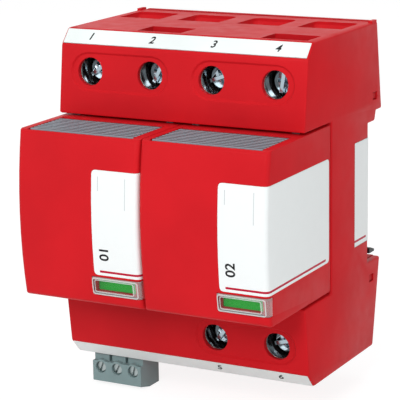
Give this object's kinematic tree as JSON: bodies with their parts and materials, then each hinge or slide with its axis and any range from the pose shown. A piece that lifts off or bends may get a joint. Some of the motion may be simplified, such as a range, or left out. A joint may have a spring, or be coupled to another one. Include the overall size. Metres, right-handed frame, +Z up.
{
  "type": "din rail surge arrester",
  "caption": "Surge arrester for a 35 mm rail: red moulded base with screw terminals, plug-in modules with status windows and release keys, and a remote signal plug.",
  "frame": {"origin": "middle of the flat seat that rests on the front of a 35 mm rail", "axes": "+Z up, +Y towards the rail and the wall behind it, +X to the right seen from the front"},
  "size_m": [0.072, 0.0713, 0.0996],
  "materials": {
    "red_shell": "satin moulded",
    "red_cover": "fine texture",
    "black_plastic": "smooth",
    "grey_plastic": "fine texture",
    "white_label": "printed film",
    "clear_window": "clear",
    "green_flag": "plain",
    "zinc_steel": "zinc plated",
    "spring_steel": "drawn wire",
    "copper_alloy": "bright",
    "capsule_steel": "dull coating"
  },
  "bodies": {
    "base": {"base_housing": "red_shell", "rear_cover": "red_cover", "upper_terminal_carrier": "black_plastic", "lower_terminal_carrier": "black_plastic", "upper_marking_strip": "white_label", "lower_marking_strip": "white_label", "side_label": "white_label", "line_busbar": "copper_alloy", "neutral_busbar": "copper_alloy", "earth_busbar": "copper_alloy", "line_contact": "copper_alloy", "neutral_contact": "copper_alloy", "left_earth_contact": "copper_alloy", "right_earth_contact": "copper_alloy", "signal_switch": "black_plastic", "signal_header": "grey_plastic", "latch_spring_left": "spring_steel", "latch_spring_right": "spring_steel"},
    "module_a": {"module_housing_a": "red_shell", "module_rear_plate_a": "black_plastic", "module_label_a": "white_label", "status_window_a": "clear_window", "spark_gap_a": "capsule_steel", "upper_blade_a": "copper_alloy", "lower_blade_a": "copper_alloy"},
    "top_key_a": {"top_release_key_a": "grey_plastic"},
    "bottom_key_a": {"bottom_release_key_a": "grey_plastic"},
    "flag_a": {"status_flag_a": "green_flag"},
    "module_b": {"module_housing_b": "red_shell", "module_rear_plate_b": "black_plastic", "module_label_b": "white_label", "status_window_b": "clear_window", "spark_gap_b": "capsule_steel", "upper_blade_b": "copper_alloy", "lower_blade_b": "copper_alloy"},
    "top_key_b": {"top_release_key_b": "grey_plastic"},
    "bottom_key_b": {"bottom_release_key_b": "grey_plastic"},
    "flag_b": {"status_flag_b": "green_flag"},
    "latch_left": {"rail_latch_left": "black_plastic"},
    "latch_right": {"rail_latch_right": "black_plastic"},
    "signal_slider": {"signal_slider": "grey_plastic"},
    "signal_plug": {"signal_plug": "grey_plastic"},
    "screw_1": {"terminal_screw_1": "zinc_steel"},
    "cage_1": {"terminal_cage_1": "zinc_steel"},
    "screw_2": {"terminal_screw_2": "zinc_steel"},
    "cage_2": {"terminal_cage_2": "zinc_steel"},
    "screw_3": {"terminal_screw_3": "zinc_steel"},
    "cage_3": {"terminal_cage_3": "zinc_steel"},
    "screw_4": {"terminal_screw_4": "zinc_steel"},
    "cage_4": {"terminal_cage_4": "zinc_steel"},
    "screw_5": {"terminal_screw_5": "zinc_steel"},
    "cage_5": {"terminal_cage_5": "zinc_steel"},
    "screw_6": {"terminal_screw_6": "zinc_steel"},
    "cage_6": {"terminal_cage_6": "zinc_steel"},
    "plug_screw_1": {"plug_screw_1": "zinc_steel"},
    "plug_clamp_1": {"plug_clamp_1": "zinc_steel"},
    "plug_screw_2": {"plug_screw_2": "zinc_steel"},
    "plug_clamp_2": {"plug_clamp_2": "zinc_steel"},
    "plug_screw_3": {"plug_screw_3": "zinc_steel"},
    "plug_clamp_3": {"plug_clamp_3": "zinc_steel"}
  },
  "joints": [
    {"name": "module_a_pull", "type": "slide", "parent": "base", "child": "module_a", "axis": [0, -1, 0], "range_m": [0, 0.03]},
    {"name": "top_key_a_press", "type": "slide", "parent": "module_a", "child": "top_key_a", "axis": [0, 0, -1], "range_m": [0, 0.0012], "stiffness_N_per_m": 200, "springref_m": -0.002},
    {"name": "bottom_key_a_press", "type": "slide", "parent": "module_a", "child": "bottom_key_a", "axis": [0, 0, 1], "range_m": [0, 0.0012], "stiffness_N_per_m": 200, "springref_m": -0.002},
    {"name": "flag_a_slide", "type": "slide", "parent": "module_a", "child": "flag_a", "axis": [0, 0, 1], "range_m": [0, 0.0048]},
    {"name": "module_b_pull", "type": "slide", "parent": "base", "child": "module_b", "axis": [0, -1, 0], "range_m": [0, 0.03]},
    {"name": "top_key_b_press", "type": "slide", "parent": "module_b", "child": "top_key_b", "axis": [0, 0, -1], "range_m": [0, 0.0012], "stiffness_N_per_m": 200, "springref_m": -0.002},
    {"name": "bottom_key_b_press", "type": "slide", "parent": "module_b", "child": "bottom_key_b", "axis": [0, 0, 1], "range_m": [0, 0.0012], "stiffness_N_per_m": 200, "springref_m": -0.002},
    {"name": "flag_b_slide", "type": "slide", "parent": "module_b", "child": "flag_b", "axis": [0, 0, 1], "range_m": [0, 0.0048]},
    {"name": "latch_left_pull", "type": "slide", "parent": "base", "child": "latch_left", "axis": [0, 0, -1], "range_m": [0, 0.002], "stiffness_N_per_m": 400, "springref_m": -0.003, "deforming": ["latch_spring_left"]},
    {"name": "latch_right_pull", "type": "slide", "parent": "base", "child": "latch_right", "axis": [0, 0, -1], "range_m": [0, 0.002], "stiffness_N_per_m": 400, "springref_m": -0.003, "deforming": ["latch_spring_right"]},
    {"name": "signal_slider_push", "type": "slide", "parent": "base", "child": "signal_slider", "axis": [0, 1, 0], "range_m": [0, 0.002], "stiffness_N_per_m": 100, "springref_m": -0.002},
    {"name": "signal_plug_pull", "type": "slide", "parent": "base", "child": "signal_plug", "axis": [0, 0, -1], "range_m": [0, 0.012]},
    {"name": "screw_1_turn", "type": "hinge", "parent": "base", "child": "screw_1", "pos_m": [-0.027, -0.03, 0.0342], "axis": [0, 1, 0], "range_deg": [0, 2880]},
    {"name": "cage_1_lift", "type": "slide", "parent": "base", "child": "cage_1", "axis": [0, -1, 0], "range_m": [0, 0.0064]},
    {"name": "screw_2_turn", "type": "hinge", "parent": "base", "child": "screw_2", "pos_m": [-0.009, -0.03, 0.0342], "axis": [0, 1, 0], "range_deg": [0, 2880]},
    {"name": "cage_2_lift", "type": "slide", "parent": "base", "child": "cage_2", "axis": [0, -1, 0], "range_m": [0, 0.0064]},
    {"name": "screw_3_turn", "type": "hinge", "parent": "base", "child": "screw_3", "pos_m": [0.009, -0.03, 0.0342], "axis": [0, 1, 0], "range_deg": [0, 2880]},
    {"name": "cage_3_lift", "type": "slide", "parent": "base", "child": "cage_3", "axis": [0, -1, 0], "range_m": [0, 0.0064]},
    {"name": "screw_4_turn", "type": "hinge", "parent": "base", "child": "screw_4", "pos_m": [0.027, -0.03, 0.0342], "axis": [0, 1, 0], "range_deg": [0, 2880]},
    {"name": "cage_4_lift", "type": "slide", "parent": "base", "child": "cage_4", "axis": [0, -1, 0], "range_m": [0, 0.0064]},
    {"name": "screw_5_turn", "type": "hinge", "parent": "base", "child": "screw_5", "pos_m": [0.009, -0.03, -0.0342], "axis": [0, 1, 0], "range_deg": [0, 2880]},
    {"name": "cage_5_lift", "type": "slide", "parent": "base", "child": "cage_5", "axis": [0, -1, 0], "range_m": [0, 0.0064]},
    {"name": "screw_6_turn", "type": "hinge", "parent": "base", "child": "screw_6", "pos_m": [0.027, -0.03, -0.0342], "axis": [0, 1, 0], "range_deg": [0, 2880]},
    {"name": "cage_6_lift", "type": "slide", "parent": "base", "child": "cage_6", "axis": [0, -1, 0], "range_m": [0, 0.0064]},
    {"name": "plug_screw_1_turn", "type": "hinge", "parent": "signal_plug", "child": "plug_screw_1", "pos_m": [-0.02868, -0.033, -0.0489], "axis": [0, 1, 0], "range_deg": [0, 1080]},
    {"name": "plug_clamp_1_lift", "type": "slide", "parent": "signal_plug", "child": "plug_clamp_1", "axis": [0, -1, 0], "range_m": [0, 0.0015]},
    {"name": "plug_screw_2_turn", "type": "hinge", "parent": "signal_plug", "child": "plug_screw_2", "pos_m": [-0.0236, -0.033, -0.0489], "axis": [0, 1, 0], "range_deg": [0, 1080]},
    {"name": "plug_clamp_2_lift", "type": "slide", "parent": "signal_plug", "child": "plug_clamp_2", "axis": [0, -1, 0], "range_m": [0, 0.0015]},
    {"name": "plug_screw_3_turn", "type": "hinge", "parent": "signal_plug", "child": "plug_screw_3", "pos_m": [-0.01852, -0.033, -0.0489], "axis": [0, 1, 0], "range_deg": [0, 1080]},
    {"name": "plug_clamp_3_lift", "type": "slide", "parent": "signal_plug", "child": "plug_clamp_3", "axis": [0, -1, 0], "range_m": [0, 0.0015]}
  ],
  "couplings": [
    {"joint": "screw_1_turn", "follows": "cage_1_lift", "rad_per_m": 7853.9},
    {"joint": "screw_2_turn", "follows": "cage_2_lift", "rad_per_m": 7853.9},
    {"joint": "screw_3_turn", "follows": "cage_3_lift", "rad_per_m": 7853.9},
    {"joint": "screw_4_turn", "follows": "cage_4_lift", "rad_per_m": 7853.9},
    {"joint": "screw_5_turn", "follows": "cage_5_lift", "rad_per_m": 7853.9},
    {"joint": "screw_6_turn", "follows": "cage_6_lift", "rad_per_m": 7853.9},
    {"joint": "plug_screw_1_turn", "follows": "plug_clamp_1_lift", "rad_per_m": 12566},
    {"joint": "plug_screw_2_turn", "follows": "plug_clamp_2_lift", "rad_per_m": 12566},
    {"joint": "plug_screw_3_turn", "follows": "plug_clamp_3_lift", "rad_per_m": 12566}
  ]
}
